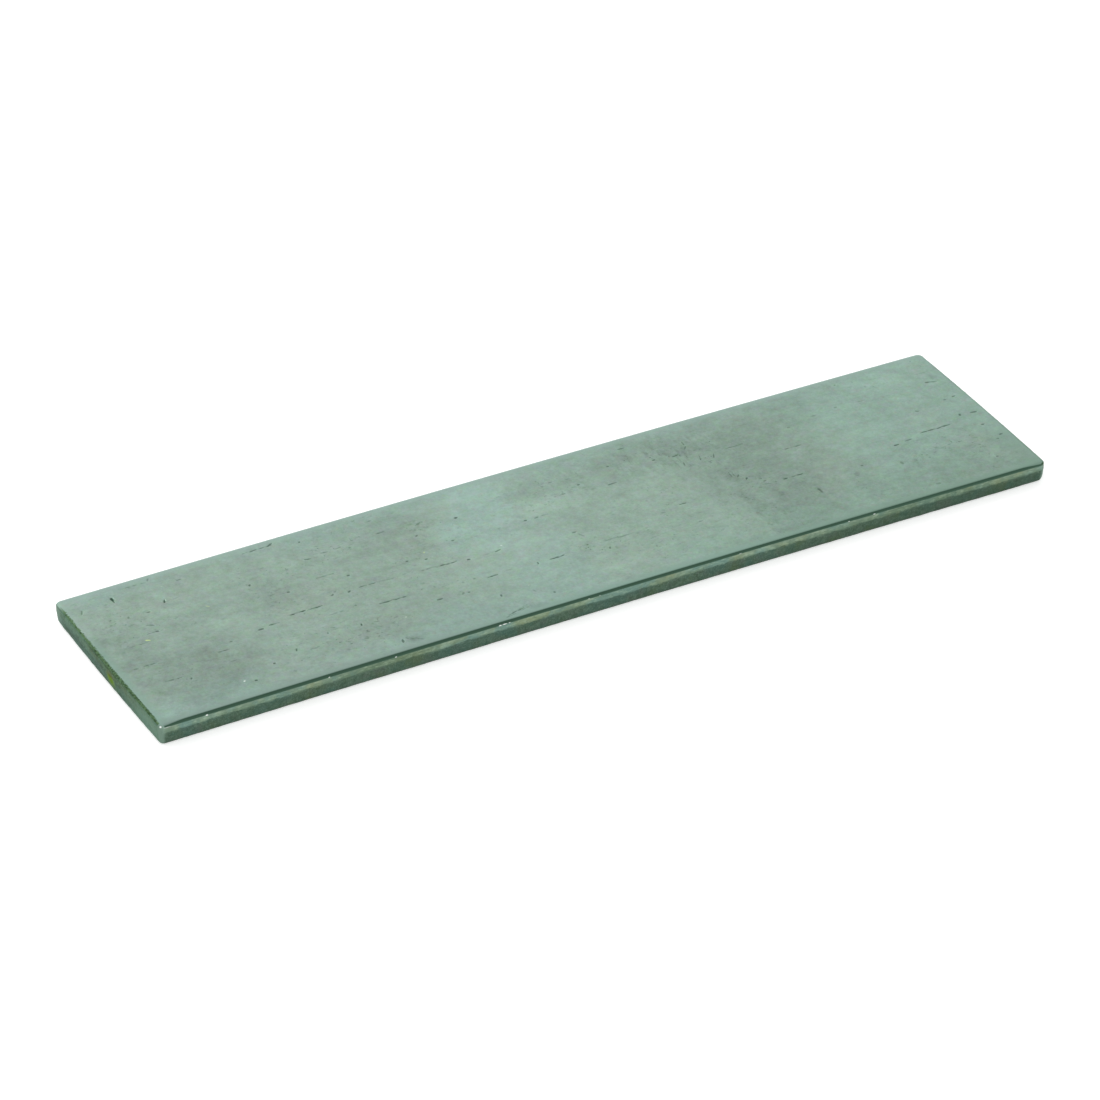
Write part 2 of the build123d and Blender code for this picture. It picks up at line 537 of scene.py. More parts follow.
def round_corner(x, y):
    """Moves a point of the square-cornered face so that the face's corners become quarter discs."""
    over_x = max(abs(x) - CORE_HALF.x, 0) / FACE_CORNER
    over_y = max(abs(y) - CORE_HALF.y, 0) / FACE_CORNER
    if over_x == 0 or over_y == 0:
        return x, y
    round_x = over_x * math.sqrt(1 - over_y**2 / 2)
    round_y = over_y * math.sqrt(1 - over_x**2 / 2)
    new_x = CORE_HALF.x + FACE_CORNER * round_x
    new_y = CORE_HALF.y + FACE_CORNER * round_y
    return math.copysign(new_x, x), math.copysign(new_y, y)


def outward(point):
    """The core point that a border point stands out from, and the direction that it stands out in."""
    core = Vector((
        min(max(point.x, -CORE_HALF.x), CORE_HALF.x),
        min(max(point.y, -CORE_HALF.y), CORE_HALF.y),
    ))
    return core, (point.xy - core).normalized()


def wander(point, pitch, seed):
    """Smooth noise from -1 to 1 that changes over a distance of about pitch."""
    return noise.noise(point / pitch + Vector((seed, seed, seed)))


def roughen_side(core, direction, outset, z, zone):
    """Where a point of the side really is, with the crest, the break and the torn band uneven."""
    border = core + direction * (FACE_CORNER + outset)
    below = Vector((border.x, border.y, 0))
    point = Vector((border.x, border.y, z))
    drawn_up = Vector((point.x, point.y, point.z * 0.45))
    at_end = smooth(0.3, 0.9, abs(direction.x))
    near_crest = band(zone, 0.2, 1.0, 1.0, 1.6)
    near_break = band(zone, 1.2, 2.0, 2.0, 3.0)
    torn = band(zone, 2.0, 2.25, 3.0, 3.8)
    near_foot = band(zone, 2.6, 3.3, 3.6, 4.0)

    crest_wave = wander(below, CREST_PITCH, 3.1) * (0.4 + at_end)
    break_wave = 0.7 * wander(below, BREAK_PITCH, 9.4) + 0.45 * wander(below, BREAK_FINE_PITCH, 5.7)
    z += CREST_WANDER * crest_wave * near_crest
    z += BREAK_WANDER * break_wave * near_break
    tear = wander(drawn_up, TORN_PITCH, 1.7) + 0.8 * wander(point, TORN_WIDE_PITCH, 7.3)
    outset -= TORN_SETBACK * torn * (1 - 0.8 * at_end)
    outset -= TORN_ROUGHNESS * torn * max(tear + 0.35, 0)
    worn = smooth(WORN_FROM, HALF_LENGTH, border.x) * smooth(0.0, 0.3, -direction.y)
    outset -= near_foot * (FOOT_WANDER * wander(point, FOOT_PITCH, 4.9) + WORN_CORNER * worn)
    end = core + direction * (FACE_CORNER + outset)
    return Vector((end.x, end.y, z))


def bend(point):
    """Gives the straight bar its camber and crown, and returns where along and across it was."""
    along = point.x / HALF_LENGTH
    across = point.y / HALF_WIDTH
    point.x += END_CROWN * along * (1 - across**2)
    point.y += EDGE_CAMBER * (0.5 - along**2)
    return along, across


def from_mark(mark, x, y):
    """How far along a mark and across it a place is; all in millimetres."""
    turn = math.radians(mark.turn)
    dx, dy = x - mark.x, y - mark.y
    return dx * math.cos(turn) + dy * math.sin(turn), dy * math.cos(turn) - dx * math.sin(turn)


def press(mark, x, y):
    """How deep a mark is at a place in millimetres, from 0 outside it to 1 in its middle."""
    along, across = from_mark(mark, x, y)
    if abs(along) >= mark.half_length or abs(across) > 4 * mark.half_width:
        return 0.0
    slim = min(mark.half_length / mark.half_width, SLIMMEST) / SLIMMEST
    spot = Vector((along * 0.9, mark.x, mark.y))
    across += slim * mark.half_width * RAGGEDNESS * noise.noise(spot)
    swell = 1 + slim * RAGGEDNESS * noise.noise(spot * 1.7 + Vector((5, 5, 5)))
    swell *= WIDEST - (WIDEST - NARROWEST) * min(mark.strength, 1.0)
    width = mark.half_width * swell * math.sqrt(1 - (along / mark.half_length) ** 2)
    worn = slim * max(0.2 + 1.1 * noise.noise(spot * 1.4 + Vector((2, 9, 4))), 0)
    return smooth(0, 1, 1.25 * (1 - abs(across) / max(width, 1e-6))) * (1 - min(worn, 0.7))


def scattered_marks():
    """Faint marks too many to place one by one: short laps along the bar and round pits."""
    draw = random.Random(SMALL_MARK_SEED)
    marks = []
    for _ in range(SMALL_MARKS):
        x = draw.uniform(-SMALL_MARK_X, SMALL_MARK_X)
        y = draw.uniform(-SMALL_MARK_Y, SMALL_MARK_Y)
        strength = draw.uniform(0.12, 0.42)
        if draw.random() < 0.45:
            marks.append(Mark(x, y, draw.uniform(0.5, 1.6), 0.16, draw.gauss(0, 5), strength))
        else:
            marks.append(Mark(x, y, draw.uniform(0.2, 0.34), 0.2, draw.uniform(0, 180), strength))
    return tuple(marks)


def by_strip(marks, width, margin):
    """The marks that come near each strip across the face, by the strip's number along the bar."""
    strips = {}
    for mark in marks:
        reach = mark.half_length + margin
        for strip in range(int((mark.x - reach) // width), int((mark.x + reach) // width) + 1):
            strips.setdefault(strip, []).append(mark)
    return strips


def refine_near(bm, marks):
    """Splits the face's cells round each mark, so that the mark has its own shape in the mesh."""
    for round_left in range(REFINE_ROUNDS, 0, -1):
        margin = REFINE_MARGIN + REFINE_STEP * round_left
        strips = by_strip(marks, REFINE_STRIP, margin)
        chosen = set()
        for cell in bm.faces:
            if cell.material_index != FACE_FINISH or cell.normal.z < 0.5:
                continue
            middle = cell.calc_center_median() / MM
            for mark in strips.get(int(middle.x // REFINE_STRIP), ()):
                along, across = from_mark(mark, middle.x, middle.y)
                if abs(along) < mark.half_length + margin and abs(across) < mark.half_width + margin:
                    chosen.update(cell.edges)
                    break
        bmesh.ops.subdivide_edges(bm, edges=list(chosen), cuts=1, use_grid_fill=True)


def mark_face(bm, name, marks, lap_depth=0.0, pit_depth=0.0):
    """Records how strongly the marks show at each point of the face, and presses them into it."""
    zone, shown = bm.verts.layers.float["edge_zone"], bm.verts.layers.float[name]
    strips = by_strip(marks, PRESS_STRIP, 0.1)
    for vert in bm.verts:
        if vert[zone] != FACE_ZONE:
            continue
        x, y = vert.co.x / MM, vert.co.y / MM
        for mark in strips.get(int(x // PRESS_STRIP), ()):
            strength = press(mark, x, y) * mark.strength
            slim = mark.half_length > 3 * mark.half_width
            vert[shown] = max(vert[shown], strength)
            vert.co.z -= strength * (lap_depth if slim else pit_depth)


def extrude_ring(bm, border):
    """Extrudes a border, and returns the new points, faces and border."""
    ring = bmesh.ops.extrude_edge_only(bm, edges=border)["geom"]
    verts = [item for item in ring if isinstance(item, bmesh.types.BMVert)]
    faces = [item for item in ring if isinstance(item, bmesh.types.BMFace)]
    edges = [item for item in ring if isinstance(item, bmesh.types.BMEdge)]
    return verts, faces, [edge for edge in edges if edge.is_boundary]


def make_face(bm):
    """The rolled face, a grid with rounded corners. Returns its border."""
    half_columns = round(CORE_HALF.x / CELL) + CORNER_CELLS
    half_rows = round(CORE_HALF.y / CELL) + CORNER_CELLS
    bmesh.ops.create_grid(
        bm,
        x_segments=2 * half_columns,
        y_segments=2 * half_rows,
        size=1.0,
        matrix=Matrix.Diagonal((half_columns, half_rows, 1, 1)),
    )
    for vert in bm.verts:
        x = grid_line(round(vert.co.x), half_columns, CORE_HALF.x)
        y = grid_line(round(vert.co.y), half_rows, CORE_HALF.y)
        x, y = round_corner(x, y)
        vert.co = Vector((x, y, THICKNESS))
    return [edge for edge in bm.edges if edge.is_boundary]


def make_side(bm, border):
    """The sheared side, with a ring at each level. Returns its lower border."""
    zone, corner = bm.verts.layers.float["edge_zone"], bm.verts.layers.float["corner"]
    for outset, z, level in side_stations():
        verts, faces, border = extrude_ring(bm, border)
        for vert in verts:
            core, direction = outward(vert.co)
            vert.co = roughen_side(core, direction, outset, z, level)
            vert[zone] = level
            vert[corner] = smooth(0.0, 0.9, 2 * abs(direction.x * direction.y))
        for face in faces:
            face.material_index = SIDE_FINISH
    return border


def make_base(bm, border):
    """The base, flat on what the bar stands on, with one narrow ring inside its border."""
    corner = bm.verts.layers.float["corner"]
    verts, _, border = extrude_ring(bm, border)
    for vert in verts:
        core, direction = outward(vert.co)
        inner = core + direction * ((vert.co.xy - core).length - BASE_RIM)
        vert.co = Vector((inner.x, inner.y, 0))
        vert[corner] = 0
    bmesh.ops.contextual_create(bm, geom=border)


def make_skin():
    """The bar's whole surface: a gridded face, rings down the sheared side, and the base."""
    bm = bmesh.new()
    layers = bm.verts.layers.float
    for name in ("edge_zone", "corner", "along", "across", "dark", "yellow", "pale"):
        layers.new(name)
    border = make_face(bm)
    border = make_side(bm, border)
    make_base(bm, border)
    bmesh.ops.recalc_face_normals(bm, faces=bm.faces)

    along, across = layers["along"], layers["across"]
    for vert in bm.verts:
        vert[along], vert[across] = bend(vert.co)
    dark_marks = LAPS + PITS + SCRATCHES + scattered_marks()
    refine_near(bm, dark_marks + YELLOW_GRAINS + PALE_GRAINS)
    mark_face(bm, "dark", dark_marks, LAP_DEPTH, PIT_DEPTH)
    mark_face(bm, "yellow", YELLOW_GRAINS)
    mark_face(bm, "pale", PALE_GRAINS)
    for face in bm.faces:
        face.smooth = True
    mesh = bpy.data.meshes.new("flat_bar_skin")
    bm.to_mesh(mesh)
    bm.free()
    skin = bpy.data.objects.new("flat_bar_skin", mesh)
    bpy.context.scene.collection.objects.link(skin)
    return skin


# ---------------------------------------------------------------------------- the finishes

# Along and across run from -1 to 1 over the bar, the zone runs from 0 to 4 down its side, and noise
# runs from 0 to 1, mostly near 0.5.


class Nodes:
    """Adds nodes to one tree and joins their sockets."""

    def __init__(self, tree):
        self.tree = tree
        tree.nodes.clear()

    def add(self, kind, inputs=None, **settings):
        """A new node, with each of its inputs joined to a socket or given a value."""
        node = self.tree.nodes.new(kind)
        for name, value in settings.items():
            setattr(node, name, value)
        for name, value in (inputs or {}).items():
            if isinstance(value, bpy.types.NodeSocket):
                self.tree.links.new(value, node.inputs[name])
            else:
                node.inputs[name].default_value = value
        return node

    def maths(self, operation, first, second=0.0, third=0.0):
        inputs = {0: first, 1: second, 2: third}
        return self.add("ShaderNodeMath", inputs, operation=operation).outputs[0]

    def plus(self, first, second):
        return self.maths("ADD", first, second)

    def times(self, first, second):
        return self.maths("MULTIPLY", first, second)

    def larger(self, first, second):
        return self.maths("MAXIMUM", first, second)

    def raised(self, value, amount, base):
        """A base value raised by an amount of another."""
        return self.maths("MULTIPLY_ADD", value, amount, base)

    def sway(self, value, amount, base=0.0):
        """A base value that noise moves up and down."""
        return self.raised(self.maths("SUBTRACT", value, 0.5), amount, base)

    def vector(self, operation, first, second):
        return self.add("ShaderNodeVectorMath", {0: first, 1: second}, operation=operation).outputs[0]

    def length(self, vector):
        return self.add("ShaderNodeVectorMath", {0: vector}, operation="LENGTH").outputs["Value"]

    def split(self, vector):
        return self.add("ShaderNodeSeparateXYZ", {"Vector": vector}).outputs

    def grey(self, level):
        return self.add("ShaderNodeCombineColor", {0: level, 1: level, 2: level}).outputs[0]

    def ramp(self, value, low, high, to_low=0.0, to_high=1.0):
        """A smooth step of a value, from to_low at low to to_high at high."""
        inputs = {"Value": value, "From Min": low, "From Max": high, "To Min": to_low, "To Max": to_high}
        return self.add("ShaderNodeMapRange", inputs, interpolation_type="SMOOTHSTEP").outputs[0]

    def blend(self, mask, below, above, way="MIX"):
        """One colour over another by a mask."""
        inputs = {0: mask, 6: below, 7: above}
        return self.add("ShaderNodeMix", inputs, data_type="RGBA", blend_type=way).outputs[2]

    def coats(self, colour, *coats):
        """A colour under coats. A value brings each in, from none at low to its most at high."""
        for value, low, high, most, coat in coats:
            colour = self.blend(self.ramp(value, low, high, 0, most), colour, coat)
        return colour

    def noise(self, place, scale, detail=3.0, roughness=0.55, shift=None):
        """Noise over a place; a shift gives it a pattern of its own."""
        if shift:
            place = self.vector("ADD", place, shift)
        inputs = {"Vector": place, "Scale": scale, "Detail": detail, "Roughness": roughness}
        return self.add("ShaderNodeTexNoise", inputs).outputs["Fac"]

    def ragged(self, place, scale, reach):
        """A place on the face, without its height, pushed about by noise as far as reach."""
        inputs = {"Vector": place, "Scale": scale, "Detail": 4.0}
        push = self.add("ShaderNodeTexNoise", inputs).outputs["Color"]
        push = self.vector("SUBTRACT", push, (0.5, 0.5, 0.5))
        moved = self.vector("ADD", place, self.vector("MULTIPLY", push, (2 * reach,) * 3))
        return self.vector("MULTIPLY", moved, (1, 1, 0))

    def attribute(self, name):
        return self.add("ShaderNodeAttribute", attribute_name=name).outputs["Fac"]

    def group(self, name, **inputs):
        return self.add("ShaderNodeGroup", inputs, node_tree=bpy.data.node_groups[name]).outputs

    def patch(self, place, centre, reach):
        """The mask of a soft-edged patch."""
        return self.group("stain", Place=place, Centre=centre, Reach=reach)["Mask"]

    def grain(self, place, draw, scale, detail):
        """Grain, drawn out in each direction by as much as draw is below 1."""
        return self.group("rolling grain", Place=place, Draw=draw, Scale=scale, Detail=detail)["Grain"]


def new_group(name, inputs, outputs):
    """An empty shader node group with named sockets: its nodes, and the sockets inside it."""
    tree = bpy.data.node_groups.new(name, "ShaderNodeTree")
    for socket, kind in inputs.items():
        tree.interface.new_socket(name=socket, in_out="INPUT", socket_type=kind)
    for socket, kind in outputs.items():
        tree.interface.new_socket(name=socket, in_out="OUTPUT", socket_type=kind)
    nodes = Nodes(tree)
    return nodes, nodes.add("NodeGroupInput").outputs, nodes.add("NodeGroupOutput").inputs


FLOAT, COLOUR, VECTOR = "NodeSocketFloat", "NodeSocketColor", "NodeSocketVector"


# Named for the stain, but it also masks the clouds, the spots and the painted glints
def make_stain_group():
    """A soft-edged patch: a mask that is 1 round its centre and fades to 0 just past its reach."""
    nodes, given, result = new_group(
        "stain", {"Place": VECTOR, "Centre": VECTOR, "Reach": VECTOR}, {"Mask": FLOAT}
    )
    away = nodes.vector("SUBTRACT", given["Place"], given["Centre"])
    away = nodes.vector("DIVIDE", away, given["Reach"])
    nodes.tree.links.new(nodes.ramp(nodes.length(away), 1.25, 0.3), result["Mask"])


def make_grain_group():
    """Rolling grain: noise drawn out in one direction."""
    nodes, given, result = new_group(
        "rolling grain",
        {"Place": VECTOR, "Draw": VECTOR, "Scale": FLOAT, "Detail": FLOAT},
        {"Grain": FLOAT},
    )
    place = nodes.vector("MULTIPLY", given["Place"], given["Draw"])
    grain = nodes.noise(place, given["Scale"], given["Detail"], 0.6)
    nodes.tree.links.new(grain, result["Grain"])


def with_clouds(nodes, place, clouds, shade):
    """A shade with soft clouds added to it."""
    for cloud in clouds:
        centre = (cloud.x * MM, cloud.y * MM, 0)
        reach = (cloud.reach_x * MM, cloud.reach_y * MM, 1)
        shade = nodes.raised(nodes.patch(place, centre, reach), cloud.shade, shade)
    return shade


def with_drop_mark(nodes, place, shade):
    """A shade with the dried drop added to it."""
    centre = (DROP_MARK.x * MM, DROP_MARK.y * MM, 0)
    away = nodes.length(nodes.vector("SUBTRACT", place, centre))
    edge = DROP_MARK.reach_x * MM
    near = nodes.ramp(away, 1.5 * edge, 1.15 * edge)
    ring = nodes.times(nodes.ramp(away, 0.85 * edge, 1.1 * edge), near)
    shade = nodes.raised(ring, -1.2 * DROP_MARK.shade, shade)
    return nodes.raised(nodes.ramp(away, edge, 0.8 * edge), DROP_MARK.shade, shade)


def mill_casts(nodes, place, along, across):
    """Grey-green steel, with green, blue and warm casts in wide areas and in fine mottling."""
    drift = nodes.noise(place, 90, 4)
    far = nodes.sway(drift, 0.4, along)
    wide = nodes.sway(drift, 0.8, across)
    green = nodes.plus(nodes.ramp(far, -0.5, 0.3, 0, 0.3), nodes.ramp(far, 0.55, 0.72, 0, 0.85))
    edges = nodes.plus(nodes.ramp(wide, -0.45, -0.95, 0, 0.75), nodes.ramp(wide, 0.6, 1.0, 0, 0.65))
    middle = nodes.times(nodes.ramp(far, -0.22, -0.16), nodes.ramp(far, 0.04, -0.04))
    middle = nodes.times(middle, nodes.ramp(wide, -0.2, 0.4, 0.7, 1.0))
    blue = nodes.larger(edges, nodes.times(middle, 0.8))
    blue = nodes.larger(blue, nodes.ramp(far, 0.58, 0.72, 0, 0.45))
    front = nodes.times(nodes.ramp(wide, -0.35, -0.85), nodes.ramp(far, -0.05, 0.3))
    colour = nodes.blend(green, MILL_GREY, MILL_GREEN)
    colour = nodes.blend(blue, colour, MILL_BLUE)
    colour = nodes.blend(nodes.times(front, 0.8), colour, MILL_GREEN)
    warm = nodes.noise(place, 60, 3, shift=(3.0, 1.0, 2.0))
    speckle = nodes.noise(place, 900, 3, 0.7, shift=(7.0, 2.0, 5.0))
    leafy = nodes.noise(place, 1000, 3, 0.7, shift=(1.0, 6.0, 3.0))
    leafy_wide = nodes.noise(place, 400, 2, shift=(9.0, 4.0, 1.0))
    return nodes.coats(
        colour,
        (warm, 0.5, 0.72, 0.4, MILL_WARM),
        (speckle, 0.5, 0.75, 0.9, MILL_BLUE),
        (speckle, 0.5, 0.25, 0.9, MILL_WARM),
        (leafy, 0.5, 0.75, 0.6, MILL_LEAF),
        (leafy, 0.5, 0.25, 0.6, MILL_ROSE),
        (leafy_wide, 0.5, 0.72, 0.32, MILL_LEAF),
        (leafy_wide, 0.5, 0.28, 0.32, MILL_ROSE),
    )


def mill_shade(nodes, place, mark_place):
    """How bright the steel is: clouds that are partly painted light, drawn-out streaks, fine mottling
    and the dull places.
    """
    shade = with_clouds(nodes, nodes.ragged(place, 90.0, CLOUD_EDGE), CLOUDS_AND_PAINTED_LIGHT, 1.0)
    shade = with_clouds(nodes, mark_place, SMUDGES, shade)
    shade = with_drop_mark(nodes, mark_place, shade)
    patches = nodes.noise(place, 240, 4, 0.6, shift=(1.0, 3.0, 5.0))
    grains = (
        (nodes.grain(place, (0.09, 1, 1), 600.0, 4.0), 0.14),
        (nodes.grain(place, (0.16, 1, 1), 170.0, 3.0), 0.2),
        (nodes.noise(place, 150, 3), 0.22),
        (patches, 0.27),
        (nodes.noise(place, 420, 4, 0.65), 0.42),
        (nodes.noise(place, 1800, 3, 0.7), 0.44),
    )
    for value, depth in grains:
        shade = nodes.sway(value, depth, shade)
    streaks = nodes.ramp(nodes.grain(place, (1, 0.3, 1), 1000.0, 3.0), 0.4, 0.75)
    streaks = nodes.times(streaks, nodes.ramp(patches, 0.35, 0.6))
    shade = nodes.raised(streaks, with_clouds(nodes, mark_place, WIPED, 0.0), shade)
    at = nodes.split(mark_place)
    dull = nodes.ramp(at["X"], DULL_FROM, DULL_FULL)
    dull = nodes.times(dull, nodes.ramp(at["X"], DULL_TO, DULL_FADES))
    dull = nodes.times(dull, nodes.ramp(at["Y"], DULL_BACK, DULL_FRONT))
    return nodes.raised(dull, -0.07, shade)


def with_specks(nodes, place, mark_place, colour):
    """A colour with dark specks and dots, thick in some places and thin in others."""
    patchy = nodes.ramp(nodes.noise(place, 75, 2), 0.42, 0.62, 0, 0.6)
    patchy = with_clouds(nodes, mark_place, SPECKLED, patchy)
    specks = nodes.ramp(nodes.grain(place, (0.65, 1, 1), 1200.0, 2.0), 0.56, 0.82, 0, 0.45)
    dots = nodes.ramp(nodes.noise(place, 1400, 1, shift=(5.0, 8.0, 2.0)), 0.69, 0.78, 0, 0.5)
    colour = nodes.blend(nodes.times(specks, patchy), colour, DARK_MARK)
    return nodes.blend(nodes.times(dots, patchy), colour, DARK_MARK)


def with_rim_reflections(nodes, along, across, colour):
    """A colour with painted reflections towards the rims of the face: paler at the back and the ends,
    darker along the front and towards the front corners.
    """
    left = nodes.ramp(along, -0.972, -0.99)
    left_front = nodes.times(left, nodes.ramp(across, 0.5, 0.1))
    pale = nodes.times(nodes.maths("SUBTRACT", left, left_front), 0.2)
    pale = nodes.larger(pale, nodes.ramp(across, 0.88, 0.98, 0, 0.65))
    pale = nodes.larger(pale, nodes.ramp(along, 0.978, 0.992, 0, 0.2))
    colour = nodes.blend(pale, colour, RIM_PALE_REFLECTION)
    colour = nodes.blend(nodes.times(left_front, 0.6), colour, RIM_LIGHT_REFLECTION)
    front = nodes.coats(RIM_GREY_REFLECTION, (along, -0.5, 0.0, 1, RIM_LIGHT_REFLECTION), (along, 0.15, 0.7, 1, RIM_GREEN_REFLECTION))
    colour = nodes.coats(colour, (across, -0.88, -0.98, 0.85, front))
    right_front = nodes.times(nodes.ramp(along, 0.92, 0.985), nodes.ramp(across, -0.15, -0.5))
    return nodes.blend(nodes.times(right_front, 0.45), colour, RIM_GREEN_REFLECTION)


def make_mill_group():
    """Colour of the rolled face, before its pressed marks."""
    nodes, given, result = new_group(
        "mill finish", {"Place": VECTOR, "Along": FLOAT, "Across": FLOAT}, {"Colour": COLOUR}
    )
    place, along, across = given["Place"], given["Along"], given["Across"]
    mark_place = nodes.ragged(place, 500.0, SMUDGE_EDGE)
    colour = mill_casts(nodes, place, along, across)
    light = nodes.grey(mill_shade(nodes, place, mark_place))
    colour = nodes.blend(1.0, colour, light, "MULTIPLY")
    colour = with_specks(nodes, place, mark_place, colour)
    nodes.tree.links.new(with_rim_reflections(nodes, along, across, colour), result["Colour"])


def new_material(name):
    """An empty material, and the nodes of its tree."""
    material = bpy.data.materials.new(name)
    material.use_nodes = True
    return material, Nodes(material.node_tree)


def add_steel(nodes, height, strength, depth, looks):
    """The metal itself, with a fine bump, joined to the material's output."""
    bump = nodes.add("ShaderNodeBump", {"Height": height, "Strength": strength, "Distance": depth})
    steel = nodes.add("ShaderNodeBsdfPrincipled", {**looks, "Normal": bump.outputs[0]})
    nodes.add("ShaderNodeOutputMaterial", {"Surface": steel.outputs[0]})


def face_material():
    """The rolled face and the base."""
    material, nodes = new_material("rolled_face")
    place = nodes.add("ShaderNodeTexCoord").outputs["Object"]
    where = {"Along": nodes.attribute("along"), "Across": nodes.attribute("across")}
    dark = nodes.attribute("dark")
    colour = nodes.coats(
        nodes.group("mill finish", Place=place, **where)["Colour"],
        (dark, 0.0, 0.82, 0.64, DARK_MARK),
        (dark, 0.95, 1.4, 0.8, DARK_MARK),
        (nodes.attribute("yellow"), 0.1, 0.6, 1, YELLOW_GRAIN),
        (nodes.attribute("pale"), 0.1, 0.6, 1, PALE_GRAIN),
    )
    roughness = nodes.ramp(nodes.noise(place, 300, 4), 0.25, 0.75, 0.36, 0.5)
    fine = nodes.grain(place, (0.06, 1, 1), 2200.0, 3.0)
    height = nodes.plus(fine, nodes.times(nodes.noise(place, 900, 3), 1.5))
    looks = {"Base Color": colour, "Metallic": 0.85, "Roughness": roughness}
    add_steel(nodes, height, 0.12, 0.05 * MM, looks)
    return material


class Side:
    """What the colours of the sheared side are worked out from: places, zones and noise."""

    def __init__(self, nodes):
        self.place = nodes.add("ShaderNodeTexCoord").outputs["Object"]
        at = nodes.split(self.place)
        self.x = at["X"]
        self.z = at["Z"]
        self.zone = nodes.attribute("edge_zone")
        self.corner = nodes.attribute("corner")
        self.along = nodes.attribute("along")
        self.across = nodes.attribute("across")
        from_middle = nodes.maths("ABSOLUTE", self.x)
        self.at_end = nodes.ramp(from_middle, HALF_LENGTH - 1.3 * MM, HALF_LENGTH - 0.4 * MM)
        self.upright = nodes.grain(self.place, (1, 1, 0.22), 1500.0, 4.0)
        self.level = nodes.grain(self.place, (0.22, 0.22, 1), 3000.0, 4.0)
        self.mottle = nodes.noise(self.place, 1100, 4, 0.65)
        self.fine = nodes.noise(self.place, 3000, 3, 0.7)
        self.tint = nodes.noise(self.place, 420, 3, shift=(4.0, 2.0, 1.0))
        self.cast = nodes.noise(self.place, 170, 3, shift=(6.0, 2.0, 8.0))
        torn = nodes.sway(self.level, 0.8, nodes.sway(self.mottle, 0.6))
        self.torn = nodes.ramp(nodes.plus(self.zone, torn), 1.78, 2.2)


def front_spot(nodes, place, spot, y, depth):
    """The mask of a spot on the front side."""
    reach = (spot.reach_along * MM, depth, spot.reach_up * MM)
    return nodes.patch(place, (spot.along * MM, y, spot.z * MM), reach)


def end_spot(nodes, place, spot, depth):
    """The mask of a spot on the left end."""
    reach = (depth, spot.reach_along * MM, spot.reach_up * MM)
    return nodes.patch(place, (-HALF_LENGTH, spot.along * MM, spot.z * MM), reach)


def burnish_colour(nodes, side):
    """Burnished band: level streaks, duller towards the break, olive over the middle of the bar."""
    colour = nodes.blend(nodes.ramp(side.zone, 1.05, 1.95), BURNISH_HIGH, BURNISH_LOW)
    middle = nodes.patch(side.x, (OLIVE_MIDDLE,) * 3, (OLIVE_REACH,) * 3)
    olive = nodes.ramp(nodes.noise(side.place, 130, 3), 0.34, 0.62, 0.3, 0.9)
    colour = nodes.blend(nodes.times(olive, middle), colour, BURNISH_OLIVE)
    colour = nodes.coats(
        colour,
        (side.cast, 0.5, 0.64, 0.95, BURNISH_COOL),
        (side.cast, 0.48, 0.35, 0.9, BURNISH_WARM),
    )
    for spot in DULL_STRETCHES:
        dull = front_spot(nodes, side.place, spot, -HALF_WIDTH, DULL_DEPTH)
        colour = nodes.blend(nodes.times(dull, spot.strength), colour, BURNISH_DULL)
    return nodes.coats(
        colour,
        (side.tint, 0.5, 0.7, 0.4, BURNISH_PALE),
        (side.level, 0.5, 0.7, 0.5, BURNISH_PALE),
        (side.level, 0.48, 0.28, 0.5, TORN),
        (side.fine, 0.45, 0.25, 0.5, TORN_DEEP),
    )


def torn_colour(nodes, side):
    """Torn band: mottled, with fine upright streaks."""
    colour = nodes.blend(nodes.ramp(side.mottle, 0.3, 0.7), TORN_DEEP, TORN_PALE)
    return nodes.coats(
        nodes.blend(0.6, colour, TORN),
        (side.tint, 0.5, 0.7, 0.5, END_BLUE),
        (side.tint, 0.5, 0.3, 0.5, TORN_DUSTY),
        (side.cast, 0.5, 0.68, 0.5, TORN_BLUE),
        (side.cast, 0.48, 0.32, 0.6, TORN_OLIVE),
        (side.fine, 0.5, 0.72, 0.75, TORN_PALE),
        (side.fine, 0.5, 0.28, 0.5, TORN_DEEP),
        (side.upright, 0.5, 0.28, 0.25, TORN_DEEP),
        (side.along, 0.2, 0.8, 0.3, TORN_DEEP),
    )


